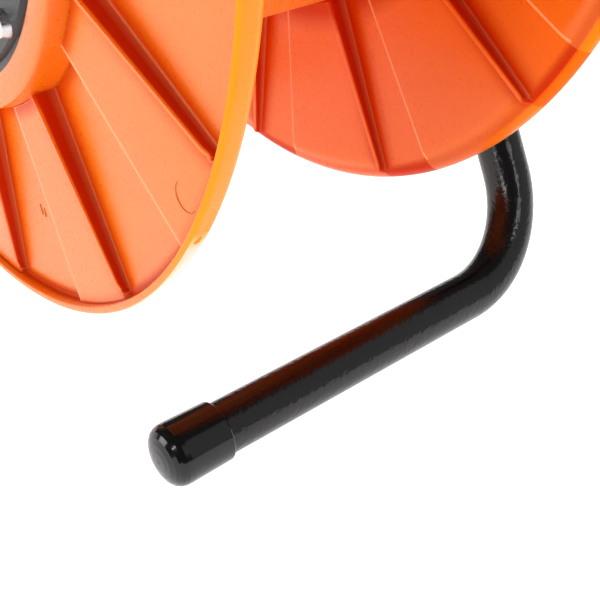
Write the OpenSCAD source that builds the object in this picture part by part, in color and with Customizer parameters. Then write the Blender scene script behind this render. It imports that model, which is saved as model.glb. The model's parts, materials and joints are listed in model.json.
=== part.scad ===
// Extension cord reel: an orange two-flange drum that turns on a bent tube stand,
// with four lidded earthed socket outlets, a thermal cut-out and a winding knob.
// +Z up, the drum turns about Y, the sockets face -Y. Millimetres.

/* [Drum] */
// Radius of the two flanges
flange_r = 145; // [142:0.5:146]
// From the front lip plane to the rear flange's inner face
drum_gap = 124; // [122:0.5:125]
// Outer radius of the barrel that the cable is wound on
barrel_r = 80; // [79.5:0.5:81]
// Number of stiffening ribs on each flange
rib_n = 12; // [6:1:12]
// Rib angle on the front flange, from straight down towards +X
rib_a = 6.6; // [6:0.2:9]
// Pleat line angle on the front flange
line_a = 23.5; // [22:0.5:25]
// Rib angle on the rear flange
rear_rib_a = -6.2; // [-7:0.2:-4]
// Pleat line angle on the rear flange
rear_line_a = 3.3; // [3:0.1:5]

/* [Stand] */
// Height of the drum's axis above the floor
axis_z = 165; // [160:1:172]
// Outer radius of the stand's tube
tube_r = 8; // [8:0.5:8]
// Wall of the stand's tube
tube_wall = 1.5; // [1.2:0.1:2]
// Half the distance between the feet
foot_x = 104; // [102:1:108]
// Half the distance between the uprights
upright_x = 70; // [68:1:72]
// Distance of the uprights behind the front lip plane
upright_y = 153.4; // [153:0.2:155]
// Height of the handle bar
handle_z = 366; // [360:1:372]
// Distance of the handle bar behind the front lip plane
handle_y = 62; // [56:1:70]

/* [Sockets] */
// Distance of each socket's centre from the drum's axis
socket_r = 40; // [40:0.5:40.5]
// Radius of the round well that takes the plug
well_r = 19.9; // [19.5:0.1:20]
// Depth of the well
well_d = 17.5; // [17:0.5:18]

/* [Knob] */
// Distance of the winding knob from the axis
knob_at = 112; // [108:1:114]
// Length of the knob
knob_len = 46; // [40:1:50]

/* [Hidden] */
$fn = 64;
lip_w = 2.4;
plate_y = 3.9;
plate_t = 2.1;
step_h = 1.8;
dish = 3;
collar_r = 84;
rear_y = drum_gap;
knob_front = -6.2 - knob_len;
frame_rear = upright_y + tube_r;
ys = -(knob_front + frame_rear) / 2;
foot_cap_r = 9.4;
foot_y = -0.3;

function unit(v) = v / norm(v);
// The rotation that carries x, y and z onto the unit vectors u, v and w.
function turn(u, v, w) = [atan2(v[2], w[2]), -asin(u[2]), atan2(u[1], u[0])];

// Places its children on the drum's axis: local z runs to the rear, and y = 0 is the front lip plane.
module on_axis() translate([0, ys, axis_z]) rotate([-90, 0, 0]) children();
// Turns local x to the angle th, measured from straight down towards +X.
module at(th) rotate([0, 0, 90 - th]) children();
module ring(r1, r2, z1, z2) translate([0, 0, z1]) difference() {
    cylinder(h = z2 - z1, r = r2);
    translate([0, 0, -1]) cylinder(h = z2 - z1 + 2, r = r1);
}

// Each straight length laps this far into the bends, which are a hair thicker.
lap = 0.4;
// One straight length of round bar from a to b.
module straight(a, b, r) {
    d = unit(b - a);
    e = unit(abs(d[0]) < 0.9 ? cross([1, 0, 0], d) : cross([0, 0, 1], d));
    f = cross(d, e);
    translate(a) rotate(turn(e, f, d))
        cylinder(h = norm(b - a), r = r, $fn = 24);
}
// One bend at p, between the directions a and b that leave it.
module bend(p, a, b, rb, r) {
    ang = acos(a * b);
    s = p + a * rb / tan(ang / 2);
    c = p + unit(a + b) * rb / sin(ang / 2);
    u = unit(s - c);
    w = unit(cross(s - c, b - a));
    v = cross(w, u);
    translate(c) rotate(turn(u, v, w))
        rotate_extrude(angle = 180 - ang, $fn = 48) translate([rb, 0]) circle(r, $fn = 24);
}
module bar_path(p, rb, r) {
    n = len(p);
    t = [for (i = [0:n - 1]) i == 0 || i == n - 1 ? 0 :
        rb[i] / tan(acos(unit(p[i - 1] - p[i]) * unit(p[i + 1] - p[i])) / 2)];
    for (i = [0:n - 2]) {
        d = unit(p[i + 1] - p[i]);
        straight(p[i] + d * (t[i] - (i == 0 ? 0 : lap)), p[i + 1] - d * (t[i + 1] - (i == n - 2 ? 0 : lap)), r);
    }
    for (i = [1:n - 2]) bend(p[i], unit(p[i - 1] - p[i]), unit(p[i + 1] - p[i]), rb[i], r + 0.02);
}

function half_path(y0) = [[foot_x, y0, foot_cap_r + 0.02 - (foot_cap_r + 0.02 - tube_r) * (y0 - foot_y) / (upright_y - foot_y)], [foot_x, upright_y, tube_r],
    [upright_x, upright_y, 72], [upright_x, upright_y, handle_z - 8], [upright_x, handle_y, handle_z]];
function whole_path(y0) = concat(half_path(y0), [for (i = [4:-1:0]) [-half_path(y0)[i][0], half_path(y0)[i][1], half_path(y0)[i][2]]]);
half_bend = [0, 34, 34, 34, 26];
bends = concat(half_bend, [for (i = [4:-1:0]) half_bend[i]]);

module frame_tube() color([0.06, 0.06, 0.07]) translate([0, ys, 0]) difference() {
    bar_path(whole_path(foot_y), bends, tube_r);
    bar_path(whole_path(foot_y - 1), bends, tube_r - tube_wall);
}

// A push-on end cap that widens towards its closed, rounded end.
module foot_cap(sx) color([0.04, 0.04, 0.045]) translate([sx * foot_x, ys + foot_y, foot_cap_r + 0.02])
    rotate([90 - atan2(foot_cap_r + 0.02 - tube_r, upright_y - foot_y), 0, 0]) rotate_extrude()
        polygon([[0, 0.05], [tube_r + 0.03, 0.05], [tube_r + 0.03, -15.5], [tube_r + 0.95, -15.5], [tube_r + 1.15, -15.1], [tube_r + 1.4, -1.6],
            [tube_r + 1.3, 0], [tube_r + 0.9, 1.2], [tube_r + 0.2, 2.2], [tube_r - 1, 3.1], [tube_r - 2.8, 3.8], [tube_r - 5, 4.2], [0, 4.35]]);

module cross_bar() color([0.06, 0.06, 0.07]) difference() {
    translate([-upright_x - 5, ys + upright_y - 11.4, axis_z - 16]) cube([2 * upright_x + 10, 5, 32]);
    for (s = [-1, 1]) translate([s * upright_x, ys + upright_y, 0]) cylinder(h = 400, r = tube_r);
    on_axis() translate([0, 0, 100]) cylinder(h = 80, r = 8.05);
}

module axle() color([0.7, 0.7, 0.72]) on_axis() rotate_extrude() polygon([[5, 62], [7.3, 62], [8, 62.7], [8, 64.4],
    [6.5, 64.4], [6.5, 65.8], [8, 65.8], [8, 137.2], [12, 137.2], [12, 141.9], [8, 141.9], [8, 149], [5, 149]]);
module thrust_washer() color([0.75, 0.75, 0.77]) on_axis() ring(8.1, 14, 135.4, 137.1);
module end_washer() color([0.75, 0.75, 0.77]) on_axis() ring(8.1, 13.5, 65.9, 67.4);
module retaining_clip() color([0.45, 0.42, 0.38]) on_axis() difference() {
    ring(6.6, 11, 64.6, 65.6);
    translate([0, -3, 60]) cube([20, 6, 10]);
}
module handle_grip() color([0.09, 0.09, 0.1]) translate([0, ys + handle_y, handle_z]) rotate([0, 90, 0]) {
    difference() {
        rotate_extrude() polygon([[tube_r + 0.02, -42], [12, -42], [14, -40.5], [14, -37], [13, -36], [13, 36], [14, 37], [14, 40.5], [12, 42], [tube_r + 0.02, 42]]);
        for (i = [-8:8]) translate([0, 0, i * 4]) rotate_extrude() translate([13.6, 0]) circle(r = 1.1);
    }
}

// A sector of a ring between the angles a1 and a2, drawn as a polygon.
module sector(a1, a2, r1, r2, z1, z2) translate([0, 0, z1]) linear_extrude(z2 - z1)
    polygon([for (k = [0:4]) let (a = 90 - (a1 + (a2 - a1) * k / 4)) [r2 * cos(a), r2 * sin(a)],
        for (k = [4:-1:0]) let (a = 90 - (a1 + (a2 - a1) * k / 4)) [r1 * cos(a), r1 * sin(a)]]);
// A radial rib whose side outline is pts, in radius and depth.
module rib(th, t, pts) at(th) translate([0, t / 2, 0]) rotate([90, 0, 0]) linear_extrude(t) polygon(pts);

module front_flange() color([1, 0.42, 0.13]) on_axis() difference() {
    union() {
        rotate_extrude() polygon([[73, 3], [76, 3], [76, -3], [collar_r, -3], [collar_r + 1, plate_y + dish], [flange_r - 6, plate_y], [flange_r - lip_w, plate_y],
            [flange_r - lip_w, 0.3], [flange_r - lip_w + 0.3, 0], [flange_r - 0.3, 0], [flange_r, 0.3],
            [flange_r, 4.2], [flange_r - 1.4, plate_y + plate_t], [barrel_r + 3.2, plate_y + plate_t + dish - 0.1], [barrel_r + 3, 8], [73, 8]]);
        intersection() {
            for (k = [0:rib_n - 1]) sector(line_a + k * 360 / rib_n, rib_a + (k + 1) * 360 / rib_n, collar_r - 2, flange_r - 1, plate_y - step_h, 9);
            rotate_extrude() polygon([[collar_r - 4, 1], [flange_r + 5, 1], [flange_r + 5, 3.8], [collar_r - 4, 7.4]]);
        }
        for (k = [0:rib_n - 1]) rib(rib_a + k * 360 / rib_n, 2.6, [[collar_r - 2, 7.6], [flange_r - 4, 5], [flange_r - 4, 2.2], [flange_r - 6, 1.2],
            [flange_r - 8, 0.95], [collar_r + 7, 0.4], [collar_r - 2, 0.3]]);
        for (k = [0:3]) {
            at(90 * k) translate([67.5, -5, 3]) cube([10, 10, 5]);
            at(45 + 90 * k) translate([64.5, -5, 3]) cube([12, 10, 5]);
        }
        at(180) translate([knob_at, 0, -4]) cylinder(h = 10.5, r = 11);
        at(180) translate([knob_at, 0, 6]) cylinder(h = 2.1, r = 8.5);
    }
    for (k = [0:3]) {
        at(90 * k) translate([72.3, 0, 0]) cylinder(h = 20, r = 2.05);
        at(45 + 90 * k) translate([69.5, 0, 0]) cylinder(h = 20, r = 1.85);
    }
    at(180) translate([knob_at, 0, -10]) cylinder(h = 30, r = 4.05);
}

module rear_flange() color([1, 0.42, 0.13]) on_axis() difference() {
    union() {
        rotate_extrude() polygon([[11, 70], [15, 70], [15, rear_y + 0.02], [flange_r - 5, rear_y + 0.02], [flange_r - 2.4, rear_y + 0.6],
            [flange_r - 0.8, rear_y + 1.8], [flange_r, rear_y + 3.2],
            [flange_r, rear_y + 5.1], [flange_r - 0.3, rear_y + 5.4], [flange_r - lip_w + 0.3, rear_y + 5.4], [flange_r - lip_w, rear_y + 5.1],
            [flange_r - lip_w, rear_y + 2.6], [15, rear_y + 2.6], [15, 133], [11, 133]]);
        for (k = [0:rib_n - 1]) {
            sector(rear_line_a + k * 360 / rib_n, rear_rib_a + (k + 1) * 360 / rib_n, barrel_r + 0.6, flange_r - 6, rear_y - 1.2, rear_y + 1);
            rib(rear_rib_a + k * 360 / rib_n, 2.6, [[barrel_r + 1.1, rear_y + 1.5], [flange_r - 5.5, rear_y + 1.5], [flange_r - 5.5, rear_y - 1.7], [flange_r - 8, rear_y - 2.6], [barrel_r + 1.1, rear_y - 6.4]]);
            rib(rear_rib_a + k * 360 / rib_n, 2.2, [[13, rear_y + 2], [flange_r - 1.2, rear_y + 2], [flange_r - 1.2, rear_y + 4.2], [13, rear_y + 8]]);
        }
    }
    for (k = [0:3]) at(90 * k) translate([72.3, 0, 100]) {
        cylinder(h = 50, r = 2.2);
        translate([0, 0, rear_y + 2 - 100]) cylinder(h = 20, r = 4.4);
    }
}

gland_a = 200;
gland_y = 104;
module drum_barrel() color([1, 0.42, 0.13]) on_axis() difference() {
    union() {
        ring(barrel_r - 3, barrel_r, 8.02, rear_y - 0.02);
        for (k = [0:3]) at(90 * k) translate([72.3, 0, 8.02]) cylinder(h = rear_y - 8.04, r = 5);
        at(gland_a) translate([0, 0, gland_y]) rotate([0, 90, 0]) cylinder(h = barrel_r - 0.5, r = 12);
    }
    translate([0, 0, 0]) cylinder(h = 200, r = 67);
    for (k = [0:3]) at(90 * k) translate([72.3, 0, 0]) cylinder(h = 200, r = 2.2);
    at(gland_a) translate([50, 0, gland_y]) rotate([0, 90, 0]) {
        cylinder(h = 60, r = 8.1);
        translate([0, 0, barrel_r - 50.5]) cylinder(h = 10, r = 11.6);
    }
}
module cable_gland() color([0.1, 0.1, 0.11]) on_axis() at(gland_a) translate([0, 0, gland_y]) rotate([0, 90, 0]) difference() {
    union() {
        translate([0, 0, 60.5]) cylinder(h = 20, r = 8);
        translate([0, 0, barrel_r - 0.45]) cylinder(h = 3, r = 11, $fn = 6);
        translate([0, 0, barrel_r]) cylinder(h = 9, r1 = 8.6, r2 = 6.4);
    }
    translate([0, 0, 50]) cylinder(h = 60, r = 4.3);
}
module gland_nut() color([0.1, 0.1, 0.11]) on_axis() at(gland_a) translate([0, 0, gland_y]) rotate([0, 90, 0]) difference() {
    translate([0, 0, 61.3]) cylinder(h = 4.4, r = 12, $fn = 6);
    translate([0, 0, 50]) cylinder(h = 40, r = 8.1);
}
module tie_screws() color([0.78, 0.78, 0.8]) on_axis() for (k = [0:3]) at(90 * k) translate([72.3, 0, 0]) difference() {
    union() {
        translate([0, 0, 3.4]) cylinder(h = rear_y, r = 2);
        translate([0, 0, rear_y + 2.25]) cylinder(h = 2.6, r = 4.1);
    }
    for (a = [0, 90]) rotate(a) translate([-2, -0.5, rear_y + 3.6]) cube([4, 1, 3]);
}
module hub_bush(z1, z2, f1, f2) color([0.9, 0.9, 0.86]) on_axis() {
    difference() {
        union() {
            translate([0, 0, z1]) cylinder(h = z2 - z1, r = 10.98);
            translate([0, 0, f1]) cylinder(h = f2 - f1, r = 14);
        }
        translate([0, 0, 50]) cylinder(h = 100, r = 8.05);
    }
}

module socket_panel() color([0.1, 0.1, 0.11]) on_axis() difference() {
    union() {
        translate([0, 0, -1]) cylinder(h = 3, r = 75.7);
        translate([0, 0, -2.4]) cylinder(h = 2, r1 = 72.6, r2 = 74);
        for (k = [0:3]) at(90 * k) for (s = [-1, 1]) difference() {
            union() {
                translate([67.2, s * 10.6 - 1.6, -4.6]) rotate([-90, 0, 0]) cylinder(h = 3.2, r = 2.8);
                translate([64.4, s * 10.6 - 1.6, -4.6]) cube([5.6, 3.2, 4]);
            }
            translate([67.2, -20, -4.6]) rotate([-90, 0, 0]) cylinder(h = 40, r = 1.25);
        }
    }
    for (k = [0:3]) {
        at(90 * k) translate([socket_r, 0, -10]) cylinder(h = 20, r = 22.1);
        at(45 + 90 * k) translate([69.5, 0, -10]) cylinder(h = 20, r = 2.2);
        at(90 * k) translate([67.2, -8.9, -4.6]) rotate([-90, 0, 0]) cylinder(h = 17.8, r = 3);
    }
    translate([0, 0, -10]) cylinder(h = 20, r = 5.6);
}
module panel_gasket() color([0.05, 0.05, 0.05]) on_axis() ring(73.2, 75.6, 2.02, 2.98);
module panel_screws() color([0.78, 0.78, 0.8]) on_axis() for (k = [0:3]) at(45 + 90 * k) translate([69.5, 0, 0]) difference() {
    union() {
        translate([0, 0, -2.42]) cylinder(h = 12, r = 1.8);
        translate([0, 0, -4.6]) cylinder(h = 2.18, r1 = 3.1, r2 = 3.8);
    }
    for (a = [0, 90]) rotate(a) translate([-1.8, -0.45, -5]) cube([3.6, 0.9, 2]);
}

// One socket insert: round well, two pin holes in line with the axis, and slots for the earth clips.
module socket_insert(k) color([0.12, 0.12, 0.13]) on_axis() at(90 * k) translate([socket_r, 0, 0]) difference() {
    union() {
        translate([0, 0, -3]) cylinder(h = 25, r = 22);
        translate([0, 0, -3.6]) cylinder(h = 1.18, r1 = 23.2, r2 = 24);
    }
    translate([0, 0, -10]) cylinder(h = 10 + well_d - 3.6, r = well_r);
    for (s = [-1, 1]) {
        translate([s * 9.5, 0, 0]) cylinder(h = 40, r = 2.6);
        translate([-3.2, s * 20.2 - 0.65, -1]) cube([6.4, 1.3, 40]);
    }
}
module contact_tubes() color([0.85, 0.65, 0.25]) on_axis() for (k = [0:3]) at(90 * k) translate([socket_r, 0, 0]) for (s = [-1, 1])
    translate([s * 9.5, 0, 0]) ring(2.4, 3.4, 22.02, 37.98);
module earth_clips() color([0.85, 0.65, 0.25]) on_axis() for (k = [0:3]) at(90 * k) translate([socket_r, 0, 0]) {
    for (s = [-1, 1]) translate([-2.8, s * 20.3 - 0.4, 2]) cube([5.6, 0.8, 20.9]);
    translate([-2.8, -20.7, 22.1]) cube([5.6, 41.4, 0.8]);
}
module live_busbar() color([0.85, 0.6, 0.3]) on_axis() ring(28.5, 32.5, 38, 39);
module neutral_busbar() color([0.85, 0.6, 0.3]) on_axis() ring(47.5, 51.5, 38, 39);
module earth_busbar() color([0.85, 0.6, 0.3]) on_axis() ring(38, 42, 22.92, 23.9);
module terminal_block() color([0.92, 0.92, 0.9]) on_axis() at(225) difference() {
    translate([47.5, -9, 2.02]) cube([12, 18, 14]);
    for (i = [-1:1]) {
        translate([40, i * 5.6, 10.5]) rotate([0, 90, 0]) cylinder(h = 30, r = 1.8);
        translate([53.5, i * 5.6, 10]) cylinder(h = 10, r = 1.7);
    }
}
module thermal_cutout() color([0.15, 0.15, 0.16]) on_axis() difference() {
    union() {
        translate([-8, -8, 2.4]) cube([16, 16, 24]);
        translate([0, 0, -4.4]) cylinder(h = 8, r = 5.5);
    }
    translate([0, 0, -6]) cylinder(h = 12, r = 3.95);
}
module cutout_nut() color([0.75, 0.75, 0.77]) on_axis() difference() {
    translate([0, 0, -4.1]) cylinder(h = 1.68, r = 8.4, $fn = 6);
    translate([0, 0, -10]) cylinder(h = 20, r = 5.55);
}
module reset_button() color([0.75, 0.08, 0.06]) on_axis() rotate_extrude()
    polygon([[0, -8.2], [2.6, -8.2], [3.4, -7.6], [3.6, -6.8], [3.6, 3], [0, 3]]);

// The lid lies on the insert's rim and turns outwards about its pin.
module socket_lid(k) color([0.1, 0.1, 0.11]) on_axis() at(90 * k) difference() {
    union() {
        translate([socket_r, 0, -6.6]) cylinder(h = 2.6, r = 24.4);
        translate([socket_r, 0, -7.6]) cylinder(h = 1.2, r1 = 21, r2 = 23);
        translate([67.2, -8.6, -4.6]) rotate([-90, 0, 0]) cylinder(h = 17.2, r = 2.6);
        translate([60, -8.6, -7.2]) cube([7.2, 17.2, 2.6]);
        translate([socket_r - 27.4, -5, -6.6]) cube([6, 10, 2.6]);
    }
    translate([67.2, -20, -4.6]) rotate([-90, 0, 0]) cylinder(h = 40, r = 1.26);
    translate([64, -3.2, -9]) cube([8, 6.4, 9]);
}
module lid_pins() color([0.75, 0.75, 0.77]) on_axis() for (k = [0:3]) at(90 * k)
    translate([67.2, -12, -4.6]) rotate([-90, 0, 0]) cylinder(h = 24, r = 1.2);
module lid_springs() color([0.75, 0.75, 0.77]) on_axis() for (k = [0:3]) at(90 * k) translate([67.2, 0, -4.6]) rotate([-90, 0, 0])
    rotate_extrude() difference() {
        translate([1.32, -2.9]) square([0.9, 5.8]);
        for (i = [-3:2]) translate([2.3, i * 0.9 + 0.45]) circle(r = 0.36);
    }

module knob_bolt() color([0.75, 0.75, 0.77]) on_axis() at(180) translate([knob_at, 0, 0]) {
    translate([0, 0, -44]) cylinder(h = 56.15, r = 4);
    translate([0, 0, -46.4]) cylinder(h = 2.4, r = 7);
    translate([0, 0, 8.15]) cylinder(h = 4, r = 7, $fn = 6);
}
module knob_washer() color([0.75, 0.75, 0.77]) on_axis() at(180) translate([knob_at, 0, 0]) ring(4.1, 9.5, -5.4, -4.05);
module crank_knob() color([0.09, 0.09, 0.1]) on_axis() at(180) translate([knob_at, 0, 0]) difference() {
    rotate_extrude() polygon([[4.06, -5.8], [9.4, -5.8], [10.6, -7], [9.6, -14], [9.9, -22], [12.2, -34], [13, -42],
        [12.6, -47.5], [11.2, -50], [9.6, -50.8], [9.6, -43.6], [4.06, -43.6]]);
    for (i = [0:7]) rotate(i * 45) translate([14.2, 0, -45]) cylinder(h = 34, r = 2.4);
}
module knob_cap() color([0.09, 0.09, 0.1]) on_axis() at(180) translate([knob_at, 0, 0])
    rotate_extrude() polygon([[0, knob_front], [6, knob_front + 0.3], [9, knob_front + 1], [9.55, knob_front + 1.6], [9.55, -47.2], [8.2, -47.2], [8.2, -50], [0, -50]]);

frame_tube();
foot_cap(1);  // foot_cap_right
foot_cap(-1);  // foot_cap_left
cross_bar();
axle();
thrust_washer();
end_washer();
retaining_clip();
handle_grip();
front_flange();
rear_flange();
drum_barrel();
hub_bush(69, 86, 67.8, 69.98);  // hub_bush_front
hub_bush(117, 134, 133.02, 135);  // hub_bush_rear
tie_screws();
socket_panel();
panel_gasket();
panel_screws();
cable_gland();
gland_nut();
socket_insert(0);  // socket_insert_1
socket_insert(1);  // socket_insert_2
socket_insert(2);  // socket_insert_3
socket_insert(3);  // socket_insert_4
contact_tubes();
earth_clips();
live_busbar();
neutral_busbar();
earth_busbar();
terminal_block();
thermal_cutout();
cutout_nut();
reset_button();
socket_lid(0);  // socket_lid_1
socket_lid(1);  // socket_lid_2
socket_lid(2);  // socket_lid_3
socket_lid(3);  // socket_lid_4
lid_pins();
lid_springs();
knob_bolt();
knob_washer();
crank_knob();
knob_cap();
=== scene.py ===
import bpy, bmesh, json, math
from mathutils import Vector, Matrix


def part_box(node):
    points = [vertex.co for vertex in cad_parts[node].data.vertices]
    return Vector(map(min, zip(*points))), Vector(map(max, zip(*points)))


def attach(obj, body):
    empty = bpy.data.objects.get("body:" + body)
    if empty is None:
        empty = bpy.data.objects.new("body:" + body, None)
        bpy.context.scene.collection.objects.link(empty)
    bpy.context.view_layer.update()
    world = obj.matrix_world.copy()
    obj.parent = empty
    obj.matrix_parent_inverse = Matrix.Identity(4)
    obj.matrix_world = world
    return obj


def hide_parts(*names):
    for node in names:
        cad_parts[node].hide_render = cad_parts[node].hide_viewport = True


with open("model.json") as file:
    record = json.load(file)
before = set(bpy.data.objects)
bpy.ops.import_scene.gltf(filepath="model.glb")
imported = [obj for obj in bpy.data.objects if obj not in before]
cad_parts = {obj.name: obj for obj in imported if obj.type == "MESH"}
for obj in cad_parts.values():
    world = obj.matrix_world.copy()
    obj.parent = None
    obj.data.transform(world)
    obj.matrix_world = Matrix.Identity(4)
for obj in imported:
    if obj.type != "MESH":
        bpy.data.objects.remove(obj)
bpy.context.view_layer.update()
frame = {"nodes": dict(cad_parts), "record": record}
REC = frame["record"]
NODES = frame["nodes"]

# ------------------------------------------------------------------ places, from the frame's part boxes and two given offsets
FL_LO, FL_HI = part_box("front_flange")
R = (FL_HI[0] - FL_LO[0]) / 2
AX_Z = (FL_HI[2] + FL_LO[2]) / 2
RF_LO, RF_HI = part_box("rear_flange")
FT_LO, FT_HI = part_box("frame_tube")
Y0 = FL_LO[1] + 0.004          # front lip plane: the knob's boss stands 4 mm in front of it
REAR = 0.124                   # lip plane to the rear flange's inner face


def P(th, r, d):
    """A point at angle th (degrees from straight down towards +X), radius r and depth d behind the lip plane (metres)."""
    t = math.radians(th)
    return Vector((r * math.sin(t), Y0 + d, AX_Z - r * math.cos(t)))


# ------------------------------------------------------------------ node helpers
class NT:
    def __init__(self, name):
        self.m = bpy.data.materials.new(name)
        self.m.use_nodes = True
        self.t = self.m.node_tree
        self.b = self.t.nodes["Principled BSDF"]
        self.out = self.t.nodes["Material Output"]
        self.geo = None

    def n(self, kind, **kw):
        x = self.t.nodes.new(kind)
        for k, v in kw.items():
            if k.startswith("i_"):
                x.inputs[k[2:].replace("_", " ")].default_value = v
            else:
                setattr(x, k, v)
        return x

    def link(self, a, b):
        self.t.links.new(a, b)

    def set(self, **kw):
        for k, v in kw.items():
            self.b.inputs[k.replace("_", " ")].default_value = v

    def coord(self, scale=(1, 1, 1)):
        tc = self.n("ShaderNodeTexCoord")
        mp = self.n("ShaderNodeMapping")
        mp.inputs["Scale"].default_value = scale
        self.link(tc.outputs["Object"], mp.inputs["Vector"])
        return mp.outputs["Vector"]

    def noise(self, vec, scale, detail=4.0, rough=0.55):
        x = self.n("ShaderNodeTexNoise")
        x.inputs["Scale"].default_value = scale
        x.inputs["Detail"].default_value = detail
        x.inputs["Roughness"].default_value = rough
        self.link(vec, x.inputs["Vector"])
        return x.outputs["Fac"]

    def ramp(self, fac, stops):
        x = self.n("ShaderNodeValToRGB")
        e = x.color_ramp.elements
        while len(e) < len(stops):
            e.new(0.5)
        for el, (p, c) in zip(e, stops):
            el.position = p
            el.color = (*c, 1) if len(c) == 3 else c
        self.link(fac, x.inputs["Fac"])
        return x.outputs["Color"]

    def maprange(self, fac, lo, hi, a, b):
        x = self.n("ShaderNodeMapRange")
        x.inputs["From Min"].default_value = lo
        x.inputs["From Max"].default_value = hi
        x.inputs["To Min"].default_value = a
        x.inputs["To Max"].default_value = b
        self.link(fac, x.inputs["Value"])
        return x.outputs["Result"]

    def bump(self, height, strength, dist, prev=None):
        x = self.n("ShaderNodeBump")
        x.inputs["Strength"].default_value = strength
        x.inputs["Distance"].default_value = dist
        self.link(height, x.inputs["Height"])
        if prev is not None:
            self.link(prev, x.inputs["Normal"])
        return x.outputs["Normal"]


def orange_plastic():
    m = NT("orange_plastic")
    v = m.coord()
    n1 = m.noise(v, 22, 3)
    n2 = m.noise(v, 900, 2)
    col = m.ramp(n1, [(0.3, (0.94, 0.190, 0.004)), (0.7, (0.96, 0.202, 0.006))])
    # corners go darker and redder: light there has bounced off the plastic several times
    sh = m.n("ShaderNodeAttribute", attribute_name="shade")
    tint = m.ramp(sh.outputs["Fac"], [(0.0, (1.0, 1.0, 1.0)), (0.12, (0.92, 0.86, 0.80)), (0.30, (0.80, 0.62, 0.42)), (0.6, (0.70, 0.36, 0.24)), (1.0, (0.62, 0.11, 0.16))])
    mul = m.n("ShaderNodeMix", data_type="RGBA", blend_type="MULTIPLY")
    mul.inputs[0].default_value = 1.0
    m.link(col, mul.inputs[6])
    m.link(tint, mul.inputs[7])
    # moulded edges catch the light as pale lines
    at = m.n("ShaderNodeAttribute", attribute_name="edge")
    mx = m.n("ShaderNodeMix", data_type="RGBA", blend_type="MIX")
    m.link(at.outputs["Fac"], mx.inputs[0])
    m.link(mul.outputs[2], mx.inputs[6])
    mx.inputs[7].default_value = (1.0, 0.42, 0.17, 1)
    m.link(mx.outputs[2], m.b.inputs["Base Color"])
    m.link(m.maprange(n2, 0.3, 0.7, 0.272, 0.284), m.b.inputs["Roughness"])
    m.set(IOR=1.50, Subsurface_Weight=0.45, Subsurface_Scale=0.003)
    m.b.inputs["Subsurface Radius"].default_value = (1.0, 0.30, 0.05)
    # painted glow: the thin rims let light through, so they are given a yellow-orange emission, stronger towards +X
    # where the light falls
    tc = m.n("ShaderNodeTexCoord")
    mp = m.n("ShaderNodeMapping")
    mp.inputs["Location"].default_value = (0, 0, -AX_Z)
    mp.inputs["Scale"].default_value = (1, 0, 1)
    m.link(tc.outputs["Object"], mp.inputs["Vector"])
    ln = m.n("ShaderNodeVectorMath", operation="LENGTH")
    m.link(mp.outputs["Vector"], ln.inputs[0])
    rim = m.maprange(ln.outputs["Value"], R - 0.0025, R, 0.0, 1.0)
    sx = m.n("ShaderNodeSeparateXYZ")
    m.link(tc.outputs["Object"], sx.inputs[0])
    lit = m.maprange(sx.outputs["X"], 0.097, 0.123, 0.08, 1.0)
    glow = m.ramp(rim, [(0.0, (0.0, 0.0, 0.0)), (0.25, (0.52, 0.12, 0.0)), (0.55, (0.62, 0.145, 0.0)), (0.80, (0.50, 0.14, 0.0)), (1.0, (0.34, 0.12, 0.004))])
    gm = m.n("ShaderNodeMix", data_type="RGBA", blend_type="MIX")
    m.link(lit, gm.inputs[0])
    gm.inputs[6].default_value = (0, 0, 0, 1)
    m.link(glow, gm.inputs[7])
    # painted reflection: where the edge mask runs above 1, on the bare flange's rim wall, the emission turns pale lilac
    # for the bright floor mirrored there
    over = m.maprange(at.outputs["Fac"], 1.0, 2.0, 0.0, 1.0)
    gw = m.n("ShaderNodeMix", data_type="RGBA", blend_type="MIX")
    m.link(over, gw.inputs[0])
    m.link(gm.outputs[2], gw.inputs[6])
    gw.inputs[7].default_value = (0.38, 0.34, 0.46, 1)
    m.link(gw.outputs[2], m.b.inputs["Emission Color"])
    m.set(Emission_Strength=1.0)
    # the specular level drops with the painted shade, and along the rim on the +X side, where the rim would mirror the
    # dark side of the studio
    spec = m.ramp(rim, [(0.0, (0.5, 0.5, 0.5)), (0.16, (0.5, 0.5, 0.5)), (0.30, (0.04, 0.04, 0.04)), (0.78, (0.04, 0.04, 0.04)), (0.92, (0.25, 0.25, 0.25))])
    boxed = m.ramp(sh.outputs["Fac"], [(0.0, (0.46, 0.46, 0.46)), (0.12, (0.34, 0.34, 0.34)), (0.30, (0.22, 0.22, 0.22)), (0.7, (0.06, 0.06, 0.06)), (1.0, (0.04, 0.04, 0.04))])
    sm = m.n("ShaderNodeMix", data_type="RGBA", blend_type="MIX")
    m.link(lit, sm.inputs[0])
    m.link(boxed, sm.inputs[6])
    m.link(spec, sm.inputs[7])
    mn = m.n("ShaderNodeMix", data_type="RGBA", blend_type="DARKEN")
    mn.inputs[0].default_value = 1.0
    m.link(sm.outputs[2], mn.inputs[6])
    m.link(boxed, mn.inputs[7])
    m.link(mn.outputs[2], m.b.inputs["Specular IOR Level"])
    nb = m.bump(n1, 0.03, 0.0006)
    m.link(nb, m.b.inputs["Normal"])
    return m.m


def black_enamel():
    m = NT("black_enamel")
    v = m.coord()
    orange = m.noise(v, 620, 2, 0.5)
    fine = m.noise(v, 2400, 2, 0.5)
    broad = m.noise(v, 60, 2)
    col = m.ramp(broad, [(0.35, (0.0035, 0.003, 0.0035)), (0.7, (0.006, 0.005, 0.0055))])
    m.link(col, m.b.inputs["Base Color"])
    m.link(m.maprange(fine, 0.3, 0.7, 0.13, 0.24), m.b.inputs["Roughness"])
    m.set(IOR=1.46)
    nb = m.bump(fine, 0.10, 0.0001)
    nb = m.bump(orange, 0.34, 0.0005, nb)
    m.link(nb, m.b.inputs["Normal"])
    return m.m


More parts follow.
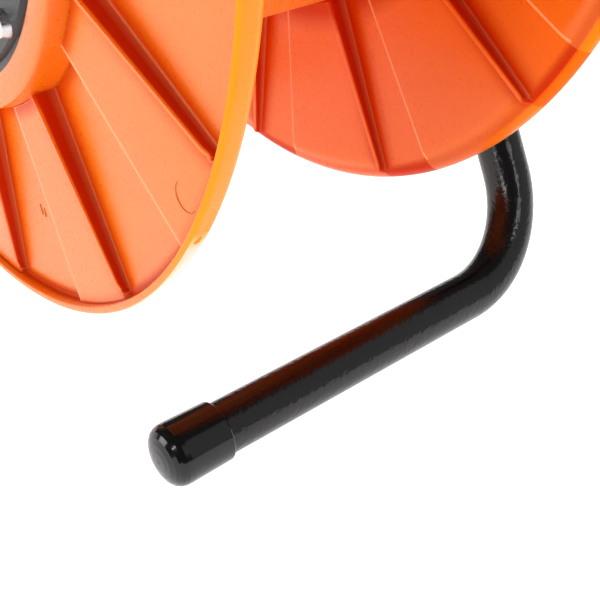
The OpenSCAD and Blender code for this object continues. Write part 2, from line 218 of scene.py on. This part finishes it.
def black_vinyl():
    m = NT("black_vinyl")
    v = m.coord()
    n1 = m.noise(v, 140, 3)
    n2 = m.noise(v, 2600, 2)
    col = m.ramp(n1, [(0.35, (0.0028, 0.0026, 0.003)), (0.7, (0.0055, 0.005, 0.0055))])
    m.link(col, m.b.inputs["Base Color"])
    m.link(m.maprange(n2, 0.3, 0.7, 0.10, 0.17), m.b.inputs["Roughness"])
    m.set(IOR=1.46)
    nb = m.bump(n2, 0.04, 0.0001)
    nb = m.bump(n1, 0.14, 0.0006, nb)
    m.link(nb, m.b.inputs["Normal"])
    return m.m


def moulded(name, dark, light, r0, r1, grain=0.12, metal=0.0, scale=1800):
    m = NT(name)
    v = m.coord()
    n1 = m.noise(v, 40, 3)
    n2 = m.noise(v, scale, 3, 0.6)
    m.link(m.ramp(n1, [(0.3, dark), (0.72, light)]), m.b.inputs["Base Color"])
    m.link(m.maprange(n2, 0.3, 0.7, r0, r1), m.b.inputs["Roughness"])
    m.set(Metallic=metal)
    m.link(m.bump(n2, grain, 0.0002), m.b.inputs["Normal"])
    return m.m


def zinc():
    m = NT("zinc_steel")
    v = m.coord((1, 1, 1))
    n1 = m.noise(v, 90, 4)
    st = m.noise(m.coord((300, 30, 300)), 8, 2)
    m.link(m.ramp(n1, [(0.3, (0.50, 0.51, 0.53)), (0.55, (0.62, 0.63, 0.66)), (0.75, (0.66, 0.64, 0.58))]), m.b.inputs["Base Color"])
    m.link(m.maprange(st, 0.3, 0.7, 0.22, 0.38), m.b.inputs["Roughness"])
    m.set(Metallic=1.0)
    m.link(m.bump(st, 0.08, 0.0001), m.b.inputs["Normal"])
    return m.m


MAT = {
    "orange_plastic": orange_plastic(),
    # orange_mark is darker than the plastic: painted shade for the small reliefs of the mould marks
    "orange_mark": moulded("orange_mark", (0.58, 0.11, 0.006), (0.68, 0.14, 0.009), 0.45, 0.55, 0.1),
    "black_enamel": black_enamel(),
    "black_vinyl": black_vinyl(),
    "black_grip": moulded("black_grip", (0.012, 0.012, 0.013), (0.022, 0.022, 0.024), 0.42, 0.6, 0.35, scale=1300),
    "black_plastic": moulded("black_plastic", (0.014, 0.014, 0.015), (0.024, 0.024, 0.026), 0.33, 0.48, 0.25, scale=1700),
    "white_nylon": moulded("white_nylon", (0.66, 0.64, 0.56), (0.76, 0.74, 0.68), 0.35, 0.5, 0.12),
    "gasket_rubber": moulded("gasket_rubber", (0.01, 0.01, 0.01), (0.02, 0.02, 0.02), 0.6, 0.8, 0.3),
    "brass": moulded("brass", (0.62, 0.40, 0.12), (0.80, 0.56, 0.22), 0.2, 0.34, 0.06, metal=1.0),
    "red_plastic": moulded("red_plastic", (0.45, 0.012, 0.008), (0.56, 0.02, 0.012), 0.25, 0.35, 0.08),
    "zinc_steel": zinc(),
    "spring_steel": moulded("spring_steel", (0.28, 0.27, 0.25), (0.42, 0.41, 0.39), 0.25, 0.4, 0.1, metal=1.0),
}
SLOT = {s["node"]: s["material_slot"] for s in REC["subparts"]}
for name, o in NODES.items():
    mat = MAT[SLOT[name]]
    o.data.materials.clear()
    o.data.materials.append(mat)


# ------------------------------------------------------------------ mesh helpers
def obj_from(name, verts, faces, mat, smooth_deg=35):
    me = bpy.data.meshes.new(name)
    me.from_pydata([tuple(v) for v in verts], [], faces)
    me.validate()
    bm = bmesh.new()
    bm.from_mesh(me)
    bmesh.ops.remove_doubles(bm, verts=bm.verts, dist=1e-7)
    bmesh.ops.recalc_face_normals(bm, faces=bm.faces)
    lim = math.radians(smooth_deg)
    for f in bm.faces:
        f.smooth = True
    for e in bm.edges:
        if len(e.link_faces) == 2 and e.calc_face_angle(0) > lim:
            e.smooth = False
    bm.to_mesh(me)
    bm.free()
    o = bpy.data.objects.new(name, me)
    bpy.context.scene.collection.objects.link(o)
    me.materials.append(MAT[mat])
    return o


def sstep(a, b, x):
    t = min(1.0, max(0.0, (x - a) / (b - a)))
    return t * t * (3 - 2 * t)


def polar_solid(name, rows, columns, height, mat, edge=None):
    """A closed ring solid. rows: list of (r, d, side) going once round the meridian; columns(r): list of angles (degrees);
    height(side, r, th): how far the surface stands proud of d, towards side."""
    verts, faces, marks = [], [], {}
    nc = None
    for (r, d, side) in rows:
        cols = columns(r)
        nc = len(cols)
        for th in cols:
            h = height(side, r, th) if side else 0.0
            q = P(th, r, d - h if side != 2 else d + h)
            if edge:
                marks[tuple(round(x * 2e5) for x in q)] = edge(side, r, th)
            verts.append(q)
    nr = len(rows)
    for i in range(nr):
        j = (i + 1) % nr
        for c in range(nc):
            e = (c + 1) % nc
            faces.append((i * nc + c, i * nc + e, j * nc + e, j * nc + c))
    o = obj_from(name, verts, faces, mat, 40)
    if edge:
        ea = o.data.attributes.new("edge", "FLOAT", "POINT")
        sa = o.data.attributes.new("shade", "FLOAT", "POINT")
        for i, vt in enumerate(o.data.vertices):
            ea.data[i].value, sa.data[i].value = marks.get(tuple(round(x * 2e5) for x in vt.co), (0.0, 0.0))
    return o


MM = 0.001


def wire(name, pts, rad, mat, seg=8):
    """A round bar along a list of points, closed at both ends."""
    vv, ff = [], []
    n = len(pts)
    ref = None
    for i, q in enumerate(pts):
        t = (pts[min(i + 1, n - 1)] - pts[max(i - 1, 0)]).normalized()
        if ref is None:
            ref = t.orthogonal().normalized()
        ref = (ref - t * ref.dot(t)).normalized()
        bi = t.cross(ref)
        rr = rad(i / (n - 1)) if callable(rad) else rad
        for k in range(seg):
            a = 2 * math.pi * k / seg
            vv.append(q + (ref * math.cos(a) + bi * math.sin(a)) * rr)
    for i in range(n - 1):
        for k in range(seg):
            e = (k + 1) % seg
            ff.append((i * seg + k, i * seg + e, (i + 1) * seg + e, (i + 1) * seg + k))
    ff.append(tuple(range(seg)))
    ff.append(tuple((n - 1) * seg + k for k in range(seg)))
    return obj_from(name, vv, ff, mat, 60)


class Flange:
    """Ribs and pleats. All lengths in metres, angles in degrees."""
    bare = True         # faces the room; the rear flange's inner face looks into the winding space

    def __init__(s, rib_a, line_a, step, rib_h, top_w, r_end, n=12):
        s.rib_a, s.line_a, s.step, s.rib_h, s.top_w, s.r_end, s.n = rib_a, line_a, step, rib_h, top_w, r_end, n
        s.gap = (rib_a + 30 - line_a) % 30      # from a pleat line to the next rib

    def columns(s, r):
        out = []
        deg = lambda x: math.degrees(x / max(r, 0.062))      # nearer the hub than this the columns would cross
        for k in range(s.n):
            L = s.line_a + 30 * k
            B = L + s.gap
            # the step at the line, low side first
            for x in (-0.9, -0.45, -0.12, 0.0, 0.08, 0.2, 0.36, 0.45, 0.8, 1.0, 1.3):
                out.append(L + deg(x * MM))
            hw = s.top_w(r) / 2
            left = [-hw - 8.0 * MM, -hw - 5.2 * MM, -hw - 3.4 * MM, -hw - 2.2 * MM, -hw - 1.4 * MM, -hw - 0.8 * MM, -hw - 0.42 * MM, -hw - 0.2 * MM, -hw - 0.05 * MM, -hw + 0.12 * MM, -hw + 0.34 * MM]
            a0 = L + deg(1.3 * MM)
            a1 = B + deg(left[0])
            for i in range(1, 6):
                out.append(a0 + (a1 - a0) * i / 6)
            out += [B + deg(x) for x in left]
            out.append(B)
            right = [-x for x in reversed(left)]
            out += [B + deg(x) for x in right]
            b0 = B + deg(right[-1])
            b1 = L + 30 - deg(0.9 * MM)
            for i in range(1, 8):
                out.append(b0 + (b1 - b0) * i / 8)
        return out

    def sdf(s, r, th):
        """Signed distance from the rib's outline (negative inside), and the offset across the rib (positive right of
        the rib).
        """
        best = None
        k = round((th - s.rib_a) / 30)
        a = math.radians(th - (s.rib_a + 30 * k))
        x, y = r * math.cos(a), r * math.sin(a)
        hw = s.top_w(min(r, s.r_end)) / 2
        tip = s.r_end - hw
        if x <= tip:
            d = abs(y) - hw
        else:
            d = math.hypot(x - tip, y) - hw
        return d, y

    def height(s, r, th):
        k = math.floor((th - s.line_a) / 30)
        u = th - (s.line_a + 30 * k)                 # 0..30 past the line
        x_line = math.radians(u) * r                 # metres past the line
        x_next = math.radians(30 - u) * r
        d, y = s.sdf(r, th)
        fade = s.edge(r)
        st = s.step(r) * fade
        # plateau: up at the line, down across the rib
        if u < 15:
            up = sstep(-0.1 * MM, 0.42 * MM, x_line)
        else:
            up = 0.0
        xr = math.radians(u - s.gap) * r             # metres past the rib's middle
        plate = st * (up if u < s.gap - 8 else (1 - sstep(-0.9 * MM, 0.9 * MM, xr)))
        if u < s.gap - 8:
            plate = st * up
        # rib, drafted wall with a small foot fillet
        h = s.rib_h(r)
        top = 1 - sstep(-0.34 * MM, 0.0, d) * 0.12
        body = 1 - sstep(-0.02 * MM, 0.42 * MM, d)
        foot = 0.05 * (1 - sstep(0.3 * MM, 1.4 * MM, d))
        rib = h * max(body * top, foot if d > 0.2 * MM else 0)
        return max(plate, 0.0) if rib <= plate else rib

    def edge(s, r):
        return 1.0

    def paint(s, side, r, th):
        """(pale, shade): painted highlight along each pleat line, the rib's shoulder and its foot, and painted floor
        reflection on the bare flange's rim wall; painted shade where the light is boxed in, along the lip and near the
        hub.
        """
        if side == 2:
            return 0.0, 0.0
        wall = (r - (R - 0.0026)) / MM
        if side == 0 or side == 3:
            # painted reflection: on the bare flange the outermost rim wall is painted pale, and above 1 given a pale
            # emission, where it would mirror the bright floor at a grazing angle
            painted_floor_reflection = sstep(-14, 6, th) * (1 - sstep(56.8, 57.4, th)) if r > R - 0.0004 and s.bare else 0.0
            return painted_floor_reflection * (1.12 + 0.75 * sstep(36, 46, th)), (0.75 if -0.5 < wall < 0.16 else 0.0)
        k = math.floor((th - s.line_a) / 30)
        u = th - (s.line_a + 30 * k)
        x = math.radians(u) * r / MM
        d, y = s.sdf(r, th)
        d /= MM
        lowside = u > s.gap
        pale = 0.0
        # painted highlights: pale along the pleat line's edge, the rib's shoulder and its foot, where these edges would
        # catch the light
        if r < R - 0.003 and 0.34 < x < 1.02 and s.step(r) > 0.3 * MM:
            pale = 0.85
        if r < s.r_end + 0.001:
            if (y > 0 or r > s.r_end - 0.0015) and 0.40 < d < 0.83:
                pale = 0.30
            if y <= 0 and -0.40 < d < -0.02:
                pale = 0.12
        inner = min(1.0, max(0.0, (s.r_end - r) / 0.055))       # ribs are taller towards the hub
        if d <= 0.42:
            shade = 0.0 if d < -0.1 else (0.95 if y > 0 or r > s.r_end - 0.001 else 0.45)
        elif y > 0 or lowside:
            shade = 0.90 * math.exp(-((d - 0.42) / lerp(3.2, 5.4, inner)) ** 1.7)
        else:
            shade = 0.62 * math.exp(-((d - 0.42) / 2.1) ** 1.3)
        rim = sstep(R - 0.0062, R - 0.0030, r) * (0.80 if lowside or u < 0.01 else 0.22)
        hub = 0.6 * (1 - sstep(0.0851, 0.090, r))
        # painted shade: a flange that is not bare, the rear one, is 0.12 darker all over, for the light the front
        # flange keeps off its inner face
        return pale, min(1.0, max(shade, rim, hub) + (0.0 if s.bare else 0.12))


def lerp(a, b, t):
    return a + (b - a) * t


# front flange: heights are measured from the low face, 3.9 mm behind the lip plane
class Front(Flange):
    pass


def low(r):
    """Depth of the low facets behind the lip plane: dished towards the hub."""
    return (3.9 + 3.0 * min(1.0, max(0.0, (0.139 - r) / 0.054))) * MM


FR = Front(6.6, 23.5,
           step=lambda r: low(r) - 2.1 * MM,
           rib_h=lambda r: low(r) - lerp(0.4 * MM, 1.0 * MM, min(1, max(0, (r - 0.085) / (0.137 - 0.085)))) - sstep(0.1372, 0.1405, r) * 0.5 * MM,
           top_w=lambda r: 1.5 * MM,
           r_end=0.1405)


def rows_between(r0, r1, n):
    return [r0 + (r1 - r0) * i / n for i in range(n + 1)]


front_rows = []
# collar, from the panel ledge outwards over the front
for r, d in [(73.0, 8.0), (73.0, 3.3), (73.3, 3.0), (75.7, 3.0), (76.0, 2.7), (76.0, -2.2), (76.25, -2.75), (76.8, -3.0), (83.2, -3.0), (83.8, -2.75), (84.1, -2.2)]:
    front_rows.append((r * MM, d * MM, 0))
front_rows.append((84.7 * MM, 2.6 * MM, 0))
front_rows.append((84.85 * MM, 6.0 * MM, 3))
for r in [85.3] + [86 + i * 3.5 for i in range(14)] + [134, 136, 137.5, 138.3, 138.8, 139.2, 139.5, 139.75, 140.0, 140.2, 140.4, 140.6, 140.8, 141.1, 141.5, 141.9]:
    front_rows.append((r * MM, low(r * MM), 1))
for r, d in [(142.2, 3.75), (142.42, 3.4), (142.5, 2.9)]:
    front_rows.append((r * MM, d * MM, 3))
for r, d in [(142.55, 1.2), (142.65, 0.55), (142.85, 0.2), (143.1, 0.05), (143.35, 0.0), (144.1, 0.0), (144.5, 0.06), (144.78, 0.2), (144.94, 0.42), (145.0, 0.75), (145.0, 3.5), (144.85, 4.1),
             (144.4, 4.9), (143.7, 5.75), (143.2, 6.0)]:
    front_rows.append((r * MM, d * MM, 0))
for r in (136, 124, 112, 100, 90, 83.6):
    front_rows.append((r * MM, (6.0 + 2.8 * (143.2 - r) / 60.0) * MM, 0))
for r, d in [(83.25, 8.75), (83.05, 8.5), (83.0, 8.0)]:
    front_rows.append((r * MM, d * MM, 0))


def front_height(side, r, th):
    h = FR.height(r, th)
    if side == 3:                  # the foot of the lip's wall follows whichever face runs into it
        d = {84.85: 6.0, 142.2: 3.75, 142.42: 3.4, 142.5: 2.9}[round(r / MM, 2)] * MM
        return max(0.0, d - (low(r) - h))
    return h


front = polar_solid("front_flange_moulding", front_rows, FR.columns, front_height, "orange_plastic", FR.paint)
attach(front, "drum")
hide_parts("front_flange")

# the knob's boss, with a flared foot
KB_LO, KB_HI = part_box("knob_bolt")
KX, KZ = (KB_LO[0] + KB_HI[0]) / 2, (KB_LO[2] + KB_HI[2]) / 2


def lathe_y(name, prof, cx, cz, mat, n=96, smooth=38):
    """Closed turned piece about an axis along Y. prof: (radius, depth behind the lip plane) once round."""
    vv, ff = [], []
    for (r, d) in prof:
        for i in range(n):
            a = 2 * math.pi * i / n
            vv.append((cx + r * math.cos(a), Y0 + d, cz + r * math.sin(a)))
    m = len(prof)
    for i in range(m):
        j = (i + 1) % m
        for c in range(n):
            e = (c + 1) % n
            ff.append((i * n + c, j * n + c, j * n + e, i * n + e))
    return obj_from(name, vv, ff, mat, smooth)


boss = lathe_y("knob_boss", [(r * MM, d * MM) for r, d in [
    (4.05, -3.6), (4.4, -4.0), (10.2, -4.0), (10.75, -3.8), (11.0, -3.3), (11.0, 2.2), (11.3, 3.2), (12.4, 4.4), (12.6, 5.6), (11.0, 6.4), (8.5, 6.6), (8.5, 7.9), (8.3, 8.1), (4.05, 8.1)]], KX, KZ, "orange_plastic")
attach(boss, "drum")

# marks the mould left: an ejector ring, a gate nick and a fleck of flash on the rim; the ring, the nick and the rim
# fleck are a darker orange, painted shade for their small reliefs
def xz(x, z, d):
    return Vector((x * MM, Y0 + d * MM, AX_Z + z * MM))


marks = [
    wire("ejector_ring", [xz(117.8 + 3.8 * math.cos(math.radians(a)), -69.4 + 3.8 * math.sin(math.radians(a)), 2.08) for a in range(132, 336, 6)],
         lambda t: 0.05 * MM + 0.13 * MM * math.sin(math.pi * t) ** 0.5, "orange_mark"),
    wire("gate_nick_a", [xz(33.0 + 1.3 * t, -109.7 - 2.9 * t, 5.15) for t in (0, 0.3, 0.6, 0.85, 1)], lambda t: (0.14 + 0.30 * t) * MM, "orange_mark"),
    wire("gate_nick_b", [xz(35.6 + 0.6 * t, -109.9 - 2.5 * t, 5.15) for t in (0, 0.3, 0.6, 0.85, 1)], lambda t: (0.14 + 0.34 * t) * MM, "orange_mark"),
    wire("rim_flash", [P(57.0 + 0.75 * t, (144.9 + 0.45 * math.sin(math.pi * t)) * MM, (0.9 + 1.2 * t) * MM) for t in (0, 0.25, 0.5, 0.75, 1)], 0.28 * MM, "orange_plastic"),
    wire("rim_fleck", [P(12.0 + 0.35 * t, (144.9 + 0.2 * math.sin(math.pi * t)) * MM, (128.0 + 0.4 * t) * MM) for t in (0, 0.5, 1)], 0.22 * MM, "orange_mark"),
]
for o in marks:
    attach(o, "drum")

# the lids' return springs, wound
vv, ff = [], []
for k in range(4):
    t = math.radians(90 * k)
    out, tg = Vector((math.sin(t), 0, -math.cos(t))), Vector((math.cos(t), 0, math.sin(t)))
    mid = P(90 * k, 0.0672, 0.0046)
    pts = []
    for i in range(92):
        u = i / 91
        a = 2 * math.pi * 6.5 * u
        pts.append(mid + tg * lerp(-2.54, 2.54, u) * MM + (out * math.cos(a) + Vector((0, math.sin(a), 0))) * 1.86 * MM)
    c = wire("coil", pts, 0.36 * MM, "spring_steel", 6)
    base = len(vv)
    vv += [v.co.copy() for v in c.data.vertices]
    ff += [[i + base for i in f.vertices] for f in c.data.polygons]
    bpy.data.objects.remove(c)
springs = obj_from("lid_springs_wound", vv, ff, "spring_steel", 60)
SLO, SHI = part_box("lid_springs")
print("springs", tuple(round(x, 4) for x in SLO), tuple(round(x, 4) for x in SHI), [(round(min(v.co[i] for v in springs.data.vertices), 4), round(max(v.co[i] for v in springs.data.vertices), 4)) for i in range(3)])
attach(springs, "drum")
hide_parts("lid_springs")

# rear flange: inner face towards -Y carries the same kind of ribs
RR = Flange(-6.2, 3.3,
            step=lambda r: 1.2 * MM * (1 - sstep(0.137, 0.1415, r)),
            rib_h=lambda r: lerp(6.2 * MM, 2.2 * MM, min(1, max(0, (r - 0.085) / (0.140 - 0.085)))),
            top_w=lambda r: 1.7 * MM,
            r_end=0.1412)
RR.bare = False
OR = Flange(-6.2, 3.3, step=lambda r: 0.0, rib_h=lambda r: lerp(5.2 * MM, 1.6 * MM, min(1, max(0, (r - 0.020) / 0.120))), top_w=lambda r: 1.8 * MM, r_end=0.1412)

rear_rows = []
for r, d in [(11, 133.0), (11, 70.3), (11.3, 70.0), (14.7, 70.0), (15, 70.3), (15, 123.4), (15.6, 124.0), (40, 124.02), (70, 124.02), (80.4, 124.02)]:
    rear_rows.append((r * MM, d * MM, 0))
for r in [81.0, 81.6, 84, 88] + [92 + i * 4 for i in range(12)] + [138, 138.8, 139.3, 139.7, 140.0, 140.3, 140.6]:
    d = 124.02
    rear_rows.append((r * MM, d * MM, 1))
for r, d in [(141.2, 124.1), (142.2, 124.45), (143.2, 125.1), (144.1, 126.0), (144.7, 127.0), (145.0, 128.2)]:
    rear_rows.append((r * MM, d * MM, 1))
for r, d in [(145.0, 128.8), (144.85, 129.25), (144.4, 129.4), (142.95, 129.35), (142.7, 129.1), (142.5, 128.4), (142.4, 127.0), (142.1, 126.65)]:
    rear_rows.append((r * MM, d * MM, 0))
for r in [141.6, 141.2, 140.9, 140.6, 140.3, 140.0, 139.6, 139.0] + [136 - i * 6 for i in range(19)] + [22, 18.5]:
    rear_rows.append((r * MM, 126.6 * MM, 2))
for r, d in [(16.2, 126.7), (15.3, 127.1), (15.0, 128.0), (15.0, 132.7), (14.7, 133.0), (11.3, 133.0)]:
    rear_rows.append((r * MM, d * MM, 0))


def rear_height(side, r, th):
    return RR.height(r, th) if side == 1 else OR.height(r, th)


rear = polar_solid("rear_flange_moulding", rear_rows, RR.columns, rear_height, "orange_plastic", RR.paint)
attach(rear, "drum")
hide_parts("rear_flange")

# ------------------------------------------------------------------ floor, light, camera
me = bpy.data.meshes.new("floor")
me.from_pydata([(-6, -6, -0.0004), (6, -6, -0.0004), (6, 6, -0.0004), (-6, 6, -0.0004)], [], [(0, 1, 2, 3)])
floor = bpy.data.objects.new("floor", me)
bpy.context.scene.collection.objects.link(floor)
fm = NT("floor_white")
v = fm.coord()
fm.link(fm.ramp(fm.noise(v, 3, 2), [(0.3, (0.30, 0.30, 0.303)), (0.7, (0.33, 0.33, 0.33))]), fm.b.inputs["Base Color"])
fm.set(Roughness=0.8, Emission_Strength=1.28)
fm.b.inputs["Emission Color"].default_value = (1, 1, 1, 1)
me.materials.append(fm.m)


def area(name, loc, look, size, size_y, power, col=(1, 1, 1)):
    L = bpy.data.lights.new(name, "AREA")
    L.shape = "RECTANGLE"
    L.size, L.size_y, L.energy, L.color = size, size_y, power, col
    o = bpy.data.objects.new(name, L)
    bpy.context.scene.collection.objects.link(o)
    o.location = loc
    o.rotation_mode = "QUATERNION"
    o.rotation_quaternion = (Vector(look) - Vector(loc)).to_track_quat("-Z", "Y")
    return o


def panel(name, loc, look, w_, h_, radiance):
    return area(name, loc, look, w_, h_, radiance * math.pi * w_ * h_)


panel("back_right_wall", (1.45, 1.45, 1.15), (0.1, 0.05, 0.1), 2.6, 2.3, 0.50)
panel("key_front_left", (-1.05, -1.75, 0.75), (0, 0, 0.12), 1.0, 1.0, 5.5)
panel("strip_front", (0.52, -1.5, 0.62), (0.1, 0.09, 0.04), 0.17, 1.25, 10)
panel("strip_right", (1.75, 0.10, 1.0), (0.1, 0.09, 0.04), 0.17, 1.5, 8)

w = bpy.data.worlds.new("studio")
bpy.context.scene.world = w
w.use_nodes = True
w.node_tree.nodes["Background"].inputs["Color"].default_value = (1, 1, 1, 1)
w.node_tree.nodes["Background"].inputs["Strength"].default_value = 0.10

cam = bpy.data.cameras.new("camera")
cam.sensor_width = 36
cam.lens = 58.195
cam.clip_start, cam.clip_end = 0.005, 50
co = bpy.data.objects.new("camera", cam)
bpy.context.scene.collection.objects.link(co)
AZ, EL = 0.8718422, 0.6203008
co.location = (1.886134 * 0.145, Y0 - 0.666408 * 0.145, AX_Z + 0.232903 * 0.145)
co.rotation_mode = "XYZ"
co.rotation_euler = (math.pi / 2 - EL, 0, AZ)
bpy.context.scene.camera = co

vs = bpy.context.scene.view_settings
vs.view_transform = "Standard"
vs.look = "None"
vs.exposure = 0
vs.gamma = 1
